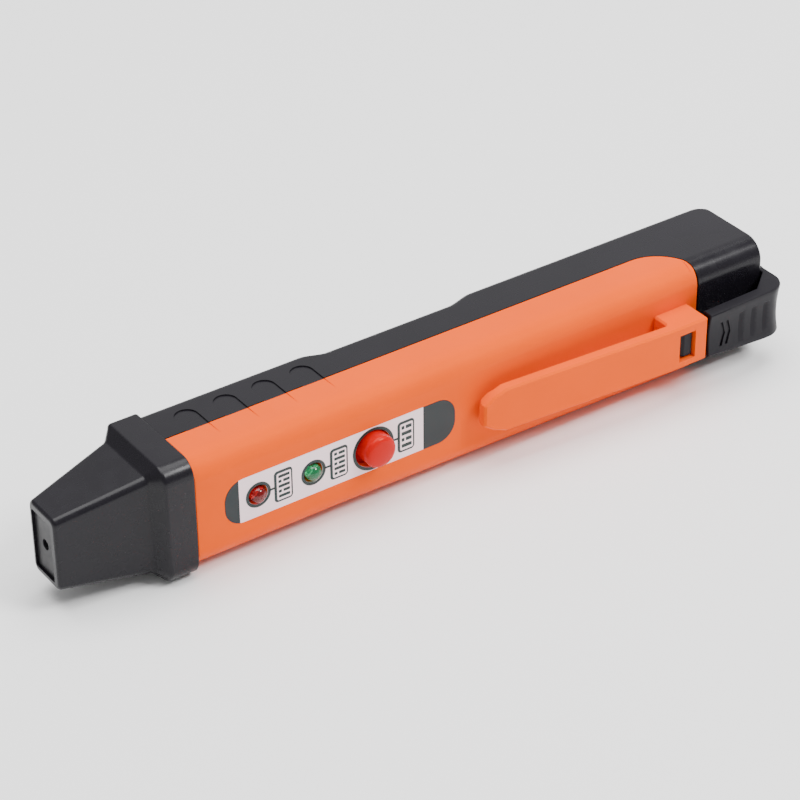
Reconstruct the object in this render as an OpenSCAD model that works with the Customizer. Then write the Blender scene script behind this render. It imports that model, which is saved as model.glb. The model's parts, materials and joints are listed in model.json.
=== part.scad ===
/* [Shells] */
// Length of the two shells, from the nose collar to the tail end
body_l = 120.5; // [120:0.5:124]
// Width of the body across its sides at the tail
body_w = 22; // [21.5:0.1:23]
// Depth of the body, from the label face to the back
body_d = 17.6; // [17.4:0.1:18.2]
// Wall thickness of the shells
wall = 1.6; // [1.4:0.1:1.8]
// Depth of the seam between the front and rear shells
split_y = 9; // [8.6:0.1:9.4]
// Radius of the two long corners beside the label
front_r = 4; // [3:0.1:4.6]
// Radius of the two long back corners
back_r = 1.5; // [0.8:0.1:2]
// Depth of the finger waist in the back
waist_d = 1.35; // [0.8:0.05:1.6]
// How much the lower side rises from the tail to the nose
side_taper = 1.1; // [0:0.1:1.2]

/* [Nose] */
// Length of the collar of the nose cap
collar_l = 5.6; // [5:0.1:6.5]
// How far the collar stands out from the shells
collar_proud = 0.45; // [0.2:0.05:0.6]
// Length of the tapered nose in front of the collar
cone_l = 17.7; // [17:0.1:19]
// Diameter of the sensing hole in the tip
tip_hole_d = 2; // [1.6:0.1:2.2]

/* [Controls] */
// Diameter of the indicator lamps
led_d = 3; // [2.8:0.1:3.2]
// Distance of the first lamp from the nose collar
red_x = 11.9; // [11:0.1:12.5]
// Distance of the second lamp from the nose collar
green_x = 22.75; // [22:0.1:23.5]
// Distance of the test button from the nose collar
button_x = 34.8; // [34:0.1:35.2]
// Diameter of the test button
button_d = 6; // [5.6:0.1:6.4]
// Height of the test button above the label
button_h = 2.7; // [2.4:0.1:3.2]
// Travel of the test button
button_travel = 1; // [0.6:0.1:1.1]

/* [Clip] */
// Reach of the clip above the label face
clip_h = 6; // [5.8:0.1:6.4]
// Width of the clip
clip_w = 8.7; // [8.5:0.1:9]
// Thickness of the clip arm
clip_t = 2; // [1.4:0.1:2.1]

/* [Battery] */
// Diameter of the AAA cell
cell_d = 10.5; // [10:0.1:10.5]
// Length of the AAA cell, with its terminal nub
cell_l = 44.5; // [43.5:0.1:44.5]

/* [Hidden] */

slit = 0.01;                 // thickness of the slices that shells are drawn through
gap = 0.05;                  // gap at the seams between fixed pieces
mid_z = body_w / 2 + 0.2;    // height of the label's centre line
taper_x = [0, 30, 100, body_l];
low_z = [side_taper - 0.5, side_taper - 0.5, -0.5, -0.5];
waist_x = [32, 35.5, 62.3, 66.5];
bulkhead_x = 66.3;
bulkhead_t = 1.2;
end_wall = 1.6;

// Rear end of the front shell, a quarter of an ellipse in plan
tail_arc_x = 97;
tail_arc_r = 8.5;

label_x = [5.5, 51.7];
label_w = 8.6;
label_r = 3.6;
label_t = 0.3;

cone_r = 1.2;
cone_base_r = 1.4;
ramp_l = 1.7;
tip_x = -collar_l - cone_l;
tip_y = [4.6, 12.9];
tip_z = [3.8, 17.6];
recess_y = [tip_y[0] + 1.4, tip_y[1] - 0.8];
recess_z = [tip_z[0] + 1.1, tip_z[1] - 1.4];
tip_plate_x = tip_x + 0.5;
base_y = [2.4, 16.4];
base_z = [1.6, 20.6];
spigot_l = 4;

board_y = 7.6;               // front surface of the circuit board
board_t = 1.2;
board_x = [-14.5, 56.5];
board_w = 16.4;
tongue_w = 6.4;
tongue_end = 6;
lead_d = 0.5;
led_step = 1.27;             // half the distance between a lamp's two leads
led_base_y = 4.1;
led_flange = [3.8, 1];

switch_w = 6;
switch_top = 4.5;
plunger_d = 3.2;
flange_d = 9.2;
cap_shift = [0.2, 0.25];      // how far the cap sits from the middle of its hole, in X and Z
flange_y = 1.75;
flange_t = 0.8;

bridge_x = [95.3, 103];
clip_z = [6.7, 6.7 + clip_w];
clip_tip_x = 55.7;
clip_tip_y = -3.4;
window_x = [96.6, 100.2];
window_z = [8.2, 13.7];
slot_y = [-4.6, -0.4];
slot_z = [7.8, 14.2];
tongue_z = [8.6, 13.4];

cell_y = 8.9;
cell_x = 69;                 // front end of the terminal nub
cell_z = 11;
nub = [3.6, 0.9];
tray_t = 0.8;
tray_clear = 0.1;
tray_z = [cell_z - cell_d / 2 - tray_clear - tray_t, cell_z + cell_d / 2 + tray_clear + tray_t];
tray_y = [8, cell_y + cell_d / 2 + tray_clear + 0.7];
tray_x = [69.2, body_l - 1.1];
bay_z = [4.2, 17.8];
bay_y = [2.6, 15.2];
spring_end = tray_x[1] - 0.8;
wiper_y = [5.9, 7.9];

door_x = [body_l + 0.25, body_l + 1.55];
wall_inner_y = -3.8;           // inner face of the press wall
door_r = 4;
door_z = [[6.6, 15.4], [5.7, 15.65]];
wall_x = 103.6;
corner_x = 116.1;            // where the press wall begins to thicken towards its corner
pivot = [door_x[0] + 0.65, 1.6];
pivot_r = 0.65;
groove_x = [111.2, 114.1, 116.9];
groove_z = [7.4, 13.5];

screw_x = 60.5;
screw_d = 2;
board_screw = [[28.8, 5.2], [46, 17]];

// Moves the pen so that it lies on its side with its box's bottom centre at the origin
box_x = [tip_x, door_x[1]];
box_y = [-clip_h, body_d + collar_proud];
module place() {
    translate([-(box_x[0] + box_x[1]) / 2, -(box_y[0] + box_y[1]) / 2, 0.5]) children();
}

// ---- general shapes ----

// A block between two corners
module block(x, y, z) {
    translate([x[0], y[0], z[0]]) cube([x[1] - x[0], y[1] - y[0], z[1] - z[0]]);
}

// A cylinder along Y from one depth to another
module post(x, z, d, y) {
    translate([x, y[0], z]) rotate([-90, 0, 0]) cylinder(d = d, h = y[1] - y[0], $fn = 48);
}

// A cylinder along X from one end to the other
module rod(x, y, z, d) {
    translate([x[0], y, z]) rotate([0, 90, 0]) cylinder(d = d, h = x[1] - x[0], $fn = 48);
}

// A rectangle in Y and Z with its own radius at the front and at the back
module rounded(y, z, rf, rb) {
    for (k = [0, 1]) {
        zf = k == 0 ? z[0] + rf : z[1] - rf;
        zb = k == 0 ? z[0] + rb : z[1] - rb;
        translate([y[0] + rf, zf]) circle(r = rf, $fn = 40);
        translate([y[1] - rb, zb]) circle(r = rb, $fn = 32);
    }
    translate([y[0], z[0] + rf]) square([y[1] - y[0] - rb, z[1] - z[0] - 2 * rf]);
    translate([y[0] + rf, z[0]]) square([y[1] - y[0] - rf - rb, z[1] - z[0]]);
    translate([y[1] - rb - 0.1, z[0] + rb]) square([rb + 0.1, z[1] - z[0] - 2 * rb]);
}

// Stands a shape drawn in Y and Z at one X
module stand(x, h) {
    translate([x, 0, 0]) rotate([90, 0, 90]) linear_extrude(height = h) children();
}

// Thin discs at the four corners of such a rectangle, for a hull to join
module corners(x, y, z, rf, rb) {
    for (k = [0, 1]) {
        translate([x, y[0] + rf, k == 0 ? z[0] + rf : z[1] - rf]) rotate([0, 90, 0])
            cylinder(r = rf, h = slit, $fn = 32);
        translate([x, y[1] - rb, k == 0 ? z[0] + rb : z[1] - rb]) rotate([0, 90, 0])
            cylinder(r = rb, h = slit, $fn = 32);
    }
}

// A tube of constant radius swept along points, with its rings set square to a fixed direction
function unit(v) = v / norm(v);
function heading(p, i) = unit(p[min(i + 1, len(p) - 1)] - p[max(i - 1, 0)]);
function ring(p, i, r, up, n) =
    let (t = heading(p, i), a = unit(cross(t, up)), b = cross(t, a))
    [for (k = [0:n - 1]) p[i] + r * (cos(360 * k / n) * a + sin(360 * k / n) * b)];
module tube(p, r, up, n = 8) {
    m = len(p);
    pts = [for (i = [0:m - 1]) each ring(p, i, r, up, n)];
    sides = [for (i = [0:m - 2]) for (k = [0:n - 1])
        [i * n + k, i * n + (k + 1) % n, (i + 1) * n + (k + 1) % n, (i + 1) * n + k]];
    caps = [[for (k = [0:n - 1]) n - 1 - k], [for (k = [0:n - 1]) (m - 1) * n + k]];
    polyhedron(points = pts, faces = concat(sides, caps), convexity = 6);
}

// Smooth points through a few chosen ones
function spline(a, b, c, d, t) =
    0.5 * (2 * b + (c - a) * t + (2 * a - 5 * b + 4 * c - d) * t * t
    + (3 * b - a - 3 * c + d) * t * t * t);
function smooth(p, n = 5) = concat([for (i = [0:len(p) - 2]) for (k = [0:n - 1])
    spline(p[max(i - 1, 0)], p[i], p[i + 1], p[min(i + 2, len(p) - 1)], k / n)],
    [p[len(p) - 1]]);

// Points of a coil along +X or +Y whose radius runs from r0 to r1
function coil(len, turns, r0, r1, steps = 14) = [for (i = [0:turns * steps])
    let (f = i / (turns * steps), r = r0 + (r1 - r0) * f)
    [f * len, r * cos(360 * i / steps), r * sin(360 * i / steps)]];

// ---- shells ----

// The outside of both shells together
module body_outside() {
    for (i = [0:len(taper_x) - 2]) hull() {
        corners(taper_x[i], [0, body_d], [low_z[i], body_w], front_r, back_r);
        corners(taper_x[i + 1] - slit, [0, body_d], [low_z[i + 1], body_w], front_r, back_r);
    }
}

// Plan of the waist that is taken out of the back
module waist_cut() {
    translate([0, 0, -5]) linear_extrude(height = body_w + 10)
        polygon([[waist_x[0], body_d], [waist_x[1], body_d - waist_d],
            [waist_x[2], body_d - waist_d], [waist_x[3], body_d],
            [waist_x[3], body_d + 3], [waist_x[0], body_d + 3]]);
}

// Plan of the front shell, grown by a small amount for the seam
module front_plan(grow) {
    translate([0, 0, -5]) linear_extrude(height = body_w + 10) polygon(concat(
        [[-5, -5], [tail_arc_x + tail_arc_r + grow, -5]],
        [for (a = [0:6:90]) [tail_arc_x + (tail_arc_r + grow) * cos(a),
            (split_y + grow) * sin(a)]],
        [[-5, split_y + grow]]));
}

// The space inside the shells, ahead of and behind the bulkhead
module cavity() {
    top = body_w - wall;
    low = low_z[0] + wall;
    block([-1, bulkhead_x], [wall, body_d - waist_d - wall], [low, top]);
    block([bulkhead_x + bulkhead_t, body_l - end_wall], [wall, body_d - wall - 0.5],
        [low_z[2] + wall + 1, top]);
}

// The cut-outs where the battery tray slides in
module bay_opening() {
    block([body_l - end_wall - 1, body_l + 1], bay_y, bay_z);
}

// Shallow finger scallops in both sides
module scallops() {
    for (i = [0:3], side = [0, 1]) {
        x = 6.4 + i * 7.55;
        z = side == 0 ? low_z[0] - 1 : body_w - 0.25;
        translate([x, 12.5, z]) cylinder(r = 2.15, h = 1.25, $fn = 40);
        translate([x - 2.15, 5.5, z]) cube([4.3, 7, 1.25]);
    }
}

// Outline of the label between two depths, grown by a small amount for its recess
module label_outline(y, grow) {
    x = [label_x[0] + label_r, label_x[1] - label_r];
    z = [mid_z - label_w / 2 + label_r, mid_z + label_w / 2 - label_r];
    for (cx = x, cz = z) post(cx, cz, 2 * (label_r + grow), y);
    block(x, y, [z[0] - label_r - grow, z[1] + label_r + grow]);
    block([x[0] - label_r - grow, x[1] + label_r + grow], y, z);
}

module control_holes(y, lamp_d, push_d) {
    for (x = [red_x, green_x]) post(x, mid_z, lamp_d, y);
    post(button_x, mid_z, push_d, y);
}

module front_shell() color([1, 0.45, 0.2]) place() {
    difference() {
        intersection() {
            body_outside();
            front_plan(0);
        }
        difference() {
            cavity();
            for (p = board_screw) post(p[0], p[1], 3.6, [0, board_y - gap]);
            post(screw_x, mid_z, 5, [0, split_y]);
        }
        scallops();
        label_outline([-0.3, label_t + 0.02], gap);
        control_holes([-1, 3], 3.9, button_d + 1.1);
        for (p = board_screw) post(p[0], p[1], 1.6, [3.5, board_y + 1]);
        post(screw_x, mid_z, screw_d + 0.04, [3.5, split_y + 1]);
    }
    clip_bridge();
}

// The post of the clip, hollow at the tail side for the latch's tongue
module clip_bridge() {
    difference() {
        block(bridge_x, [-clip_h, 0.2], clip_z);
        block([96.2, bridge_x[1] + 1], slot_y, slot_z);
        block(window_x, [-clip_h - 1, slot_y[0] + 1], window_z);
    }
}

module pocket_clip() color([1, 0.48, 0.22]) place() {
    y0 = -clip_h;
    intersection() {
        translate([0, 0, clip_z[0]]) linear_extrude(height = clip_w) polygon([
            [bridge_x[0] - 0.02, y0], [clip_tip_x, clip_tip_y],
            [clip_tip_x, clip_tip_y + clip_t], [clip_tip_x + 0.6, clip_tip_y + clip_t + 0.4],
            [clip_tip_x + 1.6, clip_tip_y + clip_t + 0.4],
            [clip_tip_x + 2.8, clip_tip_y + clip_t + 0.1],
            [bridge_x[0] - 0.02, y0 + clip_t + 0.3]]);
        translate([0, 5, 0]) rotate([90, 0, 0]) linear_extrude(height = 20) polygon([
            [bridge_x[0], clip_z[0]], [clip_tip_x + 4.2, clip_z[0]],
            [clip_tip_x + 2, clip_z[0] + 0.7], [clip_tip_x, clip_z[0] + 2.5],
            [clip_tip_x, clip_z[1] - 2.5], [clip_tip_x + 2, clip_z[1] - 0.7],
            [clip_tip_x + 4.2, clip_z[1]], [bridge_x[0], clip_z[1]]]);
    }
}

module rear_shell() color([0.24, 0.24, 0.26]) place() {
    difference() {
        body_outside();
        front_plan(gap);
        waist_cut();
        difference() {
            cavity();
            post(screw_x, mid_z, 6.4, [split_y + gap, body_d]);
        }
        bay_opening();
        scallops();
        post(screw_x, mid_z, 2.3, [0, body_d]);
        post(screw_x, mid_z, 4.4, [12.2, body_d + 1]);
    }
}

// ---- nose ----

module nose_cap() color([0.22, 0.22, 0.24]) place() {
    low = low_z[0];
    top = body_w - wall;
    back = body_d - waist_d - wall;
    difference() {
        union() {
            stand(-collar_l, collar_l - gap) rounded([-0.4, body_d + collar_proud],
                [low - 0.7, body_w + collar_proud], front_r - 1, 0.8);
            hull() {
                corners(-collar_l, [0.1, body_d], [low - 0.2, body_w], front_r - 1, 0.8);
                corners(-collar_l - ramp_l, base_y, base_z, cone_base_r, cone_r);
            }
            hull() {
                corners(-collar_l - ramp_l, base_y, base_z, cone_base_r, cone_r);
                corners(tip_x, tip_y, tip_z, cone_r, cone_r);
            }
            difference() {
                block([-1, spigot_l], [wall + 0.1, back - 0.1], [low + wall + 0.1, top - 0.1]);
                block([-2, spigot_l + 1], [wall + 1.2, back - 1.2],
                    [low + wall + 1.2, top - 1.2]);
            }
        }
        hull() {
            stand(0, slit) square_yz([wall + 1.2, back - 1.2], [low + wall + 1.2, top - 1.2]);
            stand(tip_x + 2.6, slit) square_yz([tip_y[0] + 1.4, tip_y[1] - 1.4],
                [tip_z[0] + 1.6, tip_z[1] - 1.4]);
        }
        block([tip_x - 1, tip_x + 3], recess_y, recess_z);
    }
}

module square_yz(y, z) {
    translate([y[0], z[0]]) square([y[1] - y[0], z[1] - z[0]]);
}

module tip_plate() color([0.18, 0.18, 0.2]) place() {
    difference() {
        block([tip_plate_x, tip_plate_x + 1], [recess_y[0] + gap, recess_y[1] - gap],
            [recess_z[0] + gap, recess_z[1] - gap]);
        rod([tip_plate_x - 1, tip_plate_x + 2], (recess_y[0] + recess_y[1]) / 2,
            (recess_z[0] + recess_z[1]) / 2, tip_hole_d);
    }
}

// ---- face ----

module label_plate() color([0.92, 0.86, 0.87]) place() {
    difference() {
        label_outline([0, label_t], 0);
        control_holes([-1, 3], 4, button_d + 1.2);
    }
}

module lamp(x) {
    tip = led_base_y - 5.3;
    r = led_d / 2;
    translate([x, led_base_y, mid_z]) rotate([90, 0, 0]) rotate_extrude($fn = 48)
        polygon(concat([[0, 0], [led_flange[0] / 2, 0], [led_flange[0] / 2, led_flange[1]],
            [r, led_flange[1]]],
            [for (a = [0:15:90]) [r * cos(a), led_base_y - tip - r + r * sin(a)]]));
}

module led_red() color([0.8, 0.1, 0.1]) place() lamp(red_x);

module led_green() color([0.15, 0.6, 0.35]) place() lamp(green_x);

module led_leads() color([0.75, 0.75, 0.77]) place() {
    for (x = [red_x, green_x], s = [-1, 1])
        post(x + s * led_step, mid_z, lead_d, [led_base_y, board_y + board_t + 0.8]);
}

module led_spacers() color([0.9, 0.9, 0.86]) place() {
    for (x = [red_x, green_x]) difference() {
        post(x, mid_z, 4, [led_base_y, board_y]);
        for (s = [-1, 1]) post(x + s * led_step, mid_z, lead_d + 0.1, [0, board_y + 1]);
    }
}

// ---- circuit ----

module main_board() color([0.05, 0.35, 0.2]) place() {
    y = [board_y, board_y + board_t];
    difference() {
        union() {
            block([tongue_end, board_x[1]], y, [mid_z - board_w / 2, mid_z + board_w / 2]);
            block([board_x[0], tongue_end + 1], y, [mid_z - tongue_w / 2, mid_z + tongue_w / 2]);
        }
        for (x = [red_x, green_x], s = [-1, 1])
            post(x + s * led_step, mid_z, lead_d + 0.1, [0, 12]);
        for (p = board_screw) post(p[0], p[1], 1.9, [0, 12]);
        for (s = [-1, 0, 1]) post(board_x[0] + 2, mid_z + s * led_step, 0.55, [0, 12]);
        for (i = [-1, 1], s = [-1, 1])
            post(button_x + i * 2.25, mid_z + s * 3.25, 0.9, [0, 12]);
        for (s = [-1, 1]) post(board_x[1] - 2, mid_z + s * 5, 0.9, [0, 12]);
    }
}

module hall_sensor() color([0.12, 0.12, 0.13]) place() {
    intersection() {
        block([tip_x + 2.2, tip_x + 3.7], [6.9, 9.9], [mid_z - 2, mid_z + 2]);
        translate([tip_x + 3.9, 5, mid_z]) rotate([-90, 0, 0]) cylinder(r = 2.35, h = 6, $fn = 48);
    }
}

module sensor_leads() color([0.75, 0.75, 0.77]) place() {
    x = tip_x + 3;
    for (s = [-1, 0, 1]) tube(smooth([[x, 6.9, mid_z + s * led_step],
        [x + 0.1, 6.4, mid_z + s * led_step], [x + 0.7, 6.15, mid_z + s * led_step],
        [-15, 6.15, mid_z + s * led_step], [-12.8, 6.3, mid_z + s * led_step],
        [-12.5, 6.9, mid_z + s * led_step], [-12.5, 9.6, mid_z + s * led_step]]),
        0.2, [0, 0, 1]);
}

module comparator_chip() color([0.13, 0.13, 0.14]) place() {
    block([47.4, 52.3], [board_y + board_t + 0.15, board_y + board_t + 1.6],
        [mid_z - 4.95, mid_z - 1.05]);
}

module chip_pins() color([0.75, 0.75, 0.77]) place() {
    y = board_y + board_t;
    for (i = [0:3], s = [-1, 1]) {
        x = 47.95 + i * led_step;
        z = mid_z - 3 + s * 1.95;
        block([x - 0.2, x + 0.2], [y + 0.7, y + 0.9], s < 0 ? [z - 0.6, z] : [z, z + 0.6]);
        block([x - 0.2, x + 0.2], [y, y + 0.9],
            s < 0 ? [z - 0.6, z - 0.4] : [z + 0.4, z + 0.6]);
        block([x - 0.2, x + 0.2], [y, y + 0.2],
            s < 0 ? [z - 1.1, z - 0.4] : [z + 0.4, z + 1.1]);
    }
}

module chip_resistors() color([0.1, 0.1, 0.1]) place() {
    y = board_y + board_t;
    for (x = [12, 17, 21, 40], z = [-6.6, -4.4])
        block([x, x + 2], [y, y + 0.5], [mid_z + z, mid_z + z + 1.25]);
}

module chip_capacitors() color([0.72, 0.6, 0.42]) place() {
    y = board_y + board_t;
    for (x = [17, 40, 53.2], z = [2.4])
        block([x, x + 2], [y, y + 1.1], [mid_z + z, mid_z + z + 1.25]);
}

// ---- test button ----

module switch_housing() color([0.13, 0.13, 0.14]) place() {
    difference() {
        block([button_x - switch_w / 2, button_x + switch_w / 2], [switch_top, board_y],
            [mid_z - switch_w / 2, mid_z + switch_w / 2]);
        post(button_x, mid_z, plunger_d + 0.16, [switch_top - 1, board_y - 0.5]);
    }
}

module switch_pins() color([0.75, 0.75, 0.77]) place() {
    for (i = [-1, 1], s = [-1, 1]) {
        x = button_x + i * 2.25;
        z = mid_z + s * 3.25;
        block([x - 0.3, x + 0.3], [board_y - 1, board_y + board_t + 0.8], [z - 0.15, z + 0.15]);
        block([x - 0.3, x + 0.3], [board_y - 1, board_y - 0.7],
            s < 0 ? [z, z + 0.25] : [z - 0.25, z]);
    }
}

module switch_plunger() color([0.16, 0.16, 0.17]) place() {
    post(button_x, mid_z, plunger_d, [flange_y + flange_t + 0.02, board_y - 0.6 - button_travel]);
}

module button_spring() color([0.8, 0.8, 0.82]) place() {
    len = switch_top - flange_y - flange_t - 0.5;
    translate([button_x, flange_y + flange_t + 0.25, mid_z]) rotate([0, 0, 90])
        tube(coil(len, 3, 2.45, 2.45), 0.15, [1, 0, 0], 6);
}

module test_button() color([0.9, 0.12, 0.14]) place() {
    r = button_d / 2;
    translate([button_x + cap_shift[0], flange_y + flange_t, mid_z + cap_shift[1]])
        rotate([90, 0, 0]) rotate_extrude($fn = 64)
        polygon(concat([[0, 0], [flange_d / 2, 0], [flange_d / 2, flange_t], [r, flange_t]],
            [for (a = [0:15:90]) [r - 1.2 + 1.2 * cos(a),
                flange_y + flange_t + button_h - 1.2 + 1.2 * sin(a)]],
            [[0, flange_y + flange_t + button_h]]));
}

// ---- battery ----

module battery_cell() color([0.35, 0.42, 0.5]) place() {
    rod([cell_x + nub[1] + 0.2, cell_x + cell_l - 0.2], cell_y, cell_z, cell_d);
}

module cell_terminals() color([0.8, 0.8, 0.82]) place() {
    rod([cell_x, cell_x + nub[1]], cell_y, cell_z, nub[0]);
    rod([cell_x + nub[1], cell_x + nub[1] + 0.2], cell_y, cell_z, cell_d - 1.2);
    rod([cell_x + cell_l - 0.2, cell_x + cell_l], cell_y, cell_z, cell_d - 1.6);
}

module positive_contact() color([0.85, 0.75, 0.45]) place() {
    x = bulkhead_x + bulkhead_t;
    block([x, x + 0.4], [4, 12], [cell_z - 4, cell_z + 4]);
    rod([x + 0.4, cell_x - 0.05], cell_y, cell_z, 3);
}

module side_strip() color([0.85, 0.75, 0.45]) place() {
    block([bulkhead_x + bulkhead_t, 118.4], wiper_y, [17.55, 17.85]);
}

module negative_plate() color([0.85, 0.75, 0.45]) place() {
    x = [spring_end, spring_end + 0.4];
    block(x, [4.2, 13.4], [tray_z[0] + tray_t + gap, tray_z[1] - tray_t - gap]);
    block(x, wiper_y, [tray_z[1] - tray_t - 0.1, tray_z[1] + 0.25]);
    block([112, x[1]], wiper_y, [tray_z[1], tray_z[1] + 0.25]);
}

module negative_spring() color([0.8, 0.8, 0.82]) place() {
    x = cell_x + cell_l + 0.35;
    translate([x, cell_y, cell_z])
        tube(coil(spring_end - x - 0.4, 4, 2.2, 4), 0.3, [1, 0, 0], 6);
}

// Leads from the board to the two battery contacts
module lead(z, end) {
    tube(smooth([[board_x[1] - 2, board_y - 0.4, z], [board_x[1] - 1.9, board_y - 1.4, z],
        [board_x[1] - 0.6, board_y - 2.2, z], [end[0] - 3, end[1] + 0.4, (z + end[2]) / 2],
        end]), 0.4, [0, 0, 1]);
}

module red_lead() color([0.75, 0.1, 0.1]) place() {
    lead(mid_z - 5, [bulkhead_x - 0.1, 5.2, mid_z - 5.4]);
}

module black_lead() color([0.1, 0.1, 0.1]) place() {
    lead(mid_z + 5, [bulkhead_x - 0.1, 5.2, mid_z + 5.4]);
}

// The end plate, the plug that closes the bay, and the tray for the cell
module battery_door() color([0.24, 0.24, 0.26]) place() {
    difference() {
        union() {
            block(door_x, [2.35, 16], bay_z);
            block([door_x[0] - 1.3, door_x[0] + 0.1], [bay_y[0] + 0.2, tray_y[1]], tray_z);
        }
        rod([door_x[0] - 2, door_x[0] - 0.6], cell_y, cell_z, 4);
    }
    for (z = [tray_z[0], tray_z[1] - tray_t])
        block([tray_x[0], door_x[0] - 1], tray_y, [z, z + tray_t]);
    block([tray_x[0], door_x[0] - 1], [tray_y[1] - 0.7, tray_y[1]], tray_z);
    block([tray_x[0], tray_x[0] + 0.6], [12.2, tray_y[1]], tray_z);
}

// The latch: the press wall outside the front shell, its hooked tongue and its pivot root
module door_latch() color([0.24, 0.24, 0.26]) place() {
    difference() {
        intersection() {
            translate([0, 0, -2]) linear_extrude(height = 30) latch_plan();
            translate([0, 5, 0]) rotate([90, 0, 0]) linear_extrude(height = 20) polygon([
                [wall_x - 1, door_z[0][0]], [wall_x + 13, door_z[1][0]],
                [box_x[1] + 1, door_z[1][0]], [box_x[1] + 1, door_z[1][1]],
                [wall_x + 13, door_z[1][1]], [wall_x - 1, door_z[0][1]]]);
        }
        for (x = groove_x) block([x - 0.5, x + 0.5], [-clip_h - 1, -clip_h + 0.5], groove_z);
    }
    block([96.9, wall_x + 2], [-4.4, -2.9], tongue_z);
    translate([0, 0, tongue_z[0]]) linear_extrude(height = tongue_z[1] - tongue_z[0])
        polygon([[97.2, -4.2], [97.2, -4.7], [98, -5.4], [99.8, -5.4], [99.8, -4.2]]);
}

module latch_plan() {
    cx = box_x[1] - door_r;
    cy = -clip_h + door_r;
    difference() {
        union() {
            translate([wall_x, -clip_h]) square([cx - wall_x, clip_h]);
            translate([cx, cy]) circle(r = door_r, $fn = 64);
            translate([cx, cy]) square([door_r, pivot[1] - cy]);
            translate(pivot) circle(r = pivot_r, $fn = 32);
        }
        polygon([[wall_x - 1, wall_inner_y], [corner_x, wall_inner_y], [door_x[0] - 0.35, -0.35],
            [door_x[0], 0], [door_x[0], 10], [wall_x - 1, 10]]);
    }
}

// ---- screws ----

module pan_screw(x, z, head, d, y) {
    post(x, z, d, [y[0], y[1]]);
    difference() {
        post(x, z, head[0], [y[1], y[1] + head[1]]);
        block([x - head[0] / 4, x + head[0] / 4], [y[1] + head[1] / 2, y[1] + 5],
            [z - 0.25, z + 0.25]);
        block([x - 0.25, x + 0.25], [y[1] + head[1] / 2, y[1] + 5],
            [z - head[0] / 4, z + head[0] / 4]);
    }
}

module shell_screw() color([0.65, 0.65, 0.67]) place() {
    pan_screw(screw_x, mid_z, [3.8, 1.4], screw_d, [4.4, 12.25]);
}

module board_screws() color([0.65, 0.65, 0.67]) place() {
    for (p = board_screw)
        pan_screw(p[0], p[1], [3, 1.1], 1.56, [4, board_y + board_t + 0.02]);
}

front_shell();
pocket_clip();
rear_shell();
nose_cap();
tip_plate();
label_plate();
led_red();
led_green();
led_leads();
led_spacers();
main_board();
hall_sensor();
sensor_leads();
comparator_chip();
chip_pins();
chip_resistors();
chip_capacitors();
switch_housing();
switch_pins();
switch_plunger();
button_spring();
test_button();
battery_cell();
cell_terminals();
positive_contact();
side_strip();
negative_plate();
negative_spring();
red_lead();
black_lead();
battery_door();
door_latch();
shell_screw();
board_screws();
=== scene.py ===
"""A magnetic pole tester pen, lying on its side on a pale floor.

Lengths are in millimetres in the pen's own measure: x runs from the rear edge of the nose
collar to the tail, y from the label face to the back, z across the sides. place() turns them
into the frame's metres with ORIGIN, which comes from the boxes of the CAD nodes.
"""
import json
import math

import bmesh
import bpy
import numpy as np
from mathutils import Matrix, Vector


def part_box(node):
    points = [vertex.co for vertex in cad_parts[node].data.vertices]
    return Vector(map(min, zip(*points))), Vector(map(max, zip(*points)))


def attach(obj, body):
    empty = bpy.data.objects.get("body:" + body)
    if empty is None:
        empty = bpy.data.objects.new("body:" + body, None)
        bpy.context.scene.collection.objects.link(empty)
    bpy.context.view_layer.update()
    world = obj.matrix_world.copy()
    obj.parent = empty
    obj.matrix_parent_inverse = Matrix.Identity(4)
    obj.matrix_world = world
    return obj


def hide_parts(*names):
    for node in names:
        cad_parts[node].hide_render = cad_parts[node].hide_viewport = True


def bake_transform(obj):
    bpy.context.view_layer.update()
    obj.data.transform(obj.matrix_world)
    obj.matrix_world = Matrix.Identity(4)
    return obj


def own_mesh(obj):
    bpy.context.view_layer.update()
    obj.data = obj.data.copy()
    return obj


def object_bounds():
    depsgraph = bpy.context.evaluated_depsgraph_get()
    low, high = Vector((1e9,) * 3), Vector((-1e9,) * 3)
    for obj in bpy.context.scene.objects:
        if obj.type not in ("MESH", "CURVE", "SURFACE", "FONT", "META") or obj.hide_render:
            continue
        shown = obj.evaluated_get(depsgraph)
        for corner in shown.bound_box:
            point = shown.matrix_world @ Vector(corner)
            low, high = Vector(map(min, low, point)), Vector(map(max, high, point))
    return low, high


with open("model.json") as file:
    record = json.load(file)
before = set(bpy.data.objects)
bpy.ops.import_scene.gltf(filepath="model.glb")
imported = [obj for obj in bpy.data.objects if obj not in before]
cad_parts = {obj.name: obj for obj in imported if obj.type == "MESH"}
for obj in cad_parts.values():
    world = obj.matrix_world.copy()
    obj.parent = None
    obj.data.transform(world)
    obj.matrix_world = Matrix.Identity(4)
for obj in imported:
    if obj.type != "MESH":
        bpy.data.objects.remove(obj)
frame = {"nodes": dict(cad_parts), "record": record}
cad_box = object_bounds()

MM = 0.001
BODY_W = 22.0
ORIGIN = Vector((
    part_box("rear_shell")[0].x,
    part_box("label_plate")[0].y,
    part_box("rear_shell")[1].z - BODY_W * MM,
))
LABEL_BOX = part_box("label_plate")
LABEL_X = [(corner.x - ORIGIN.x) / MM for corner in LABEL_BOX]
LABEL_Z = [(corner.z - ORIGIN.z) / MM for corner in LABEL_BOX]


# ---------------------------------------------------------------- driving sizes

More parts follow.
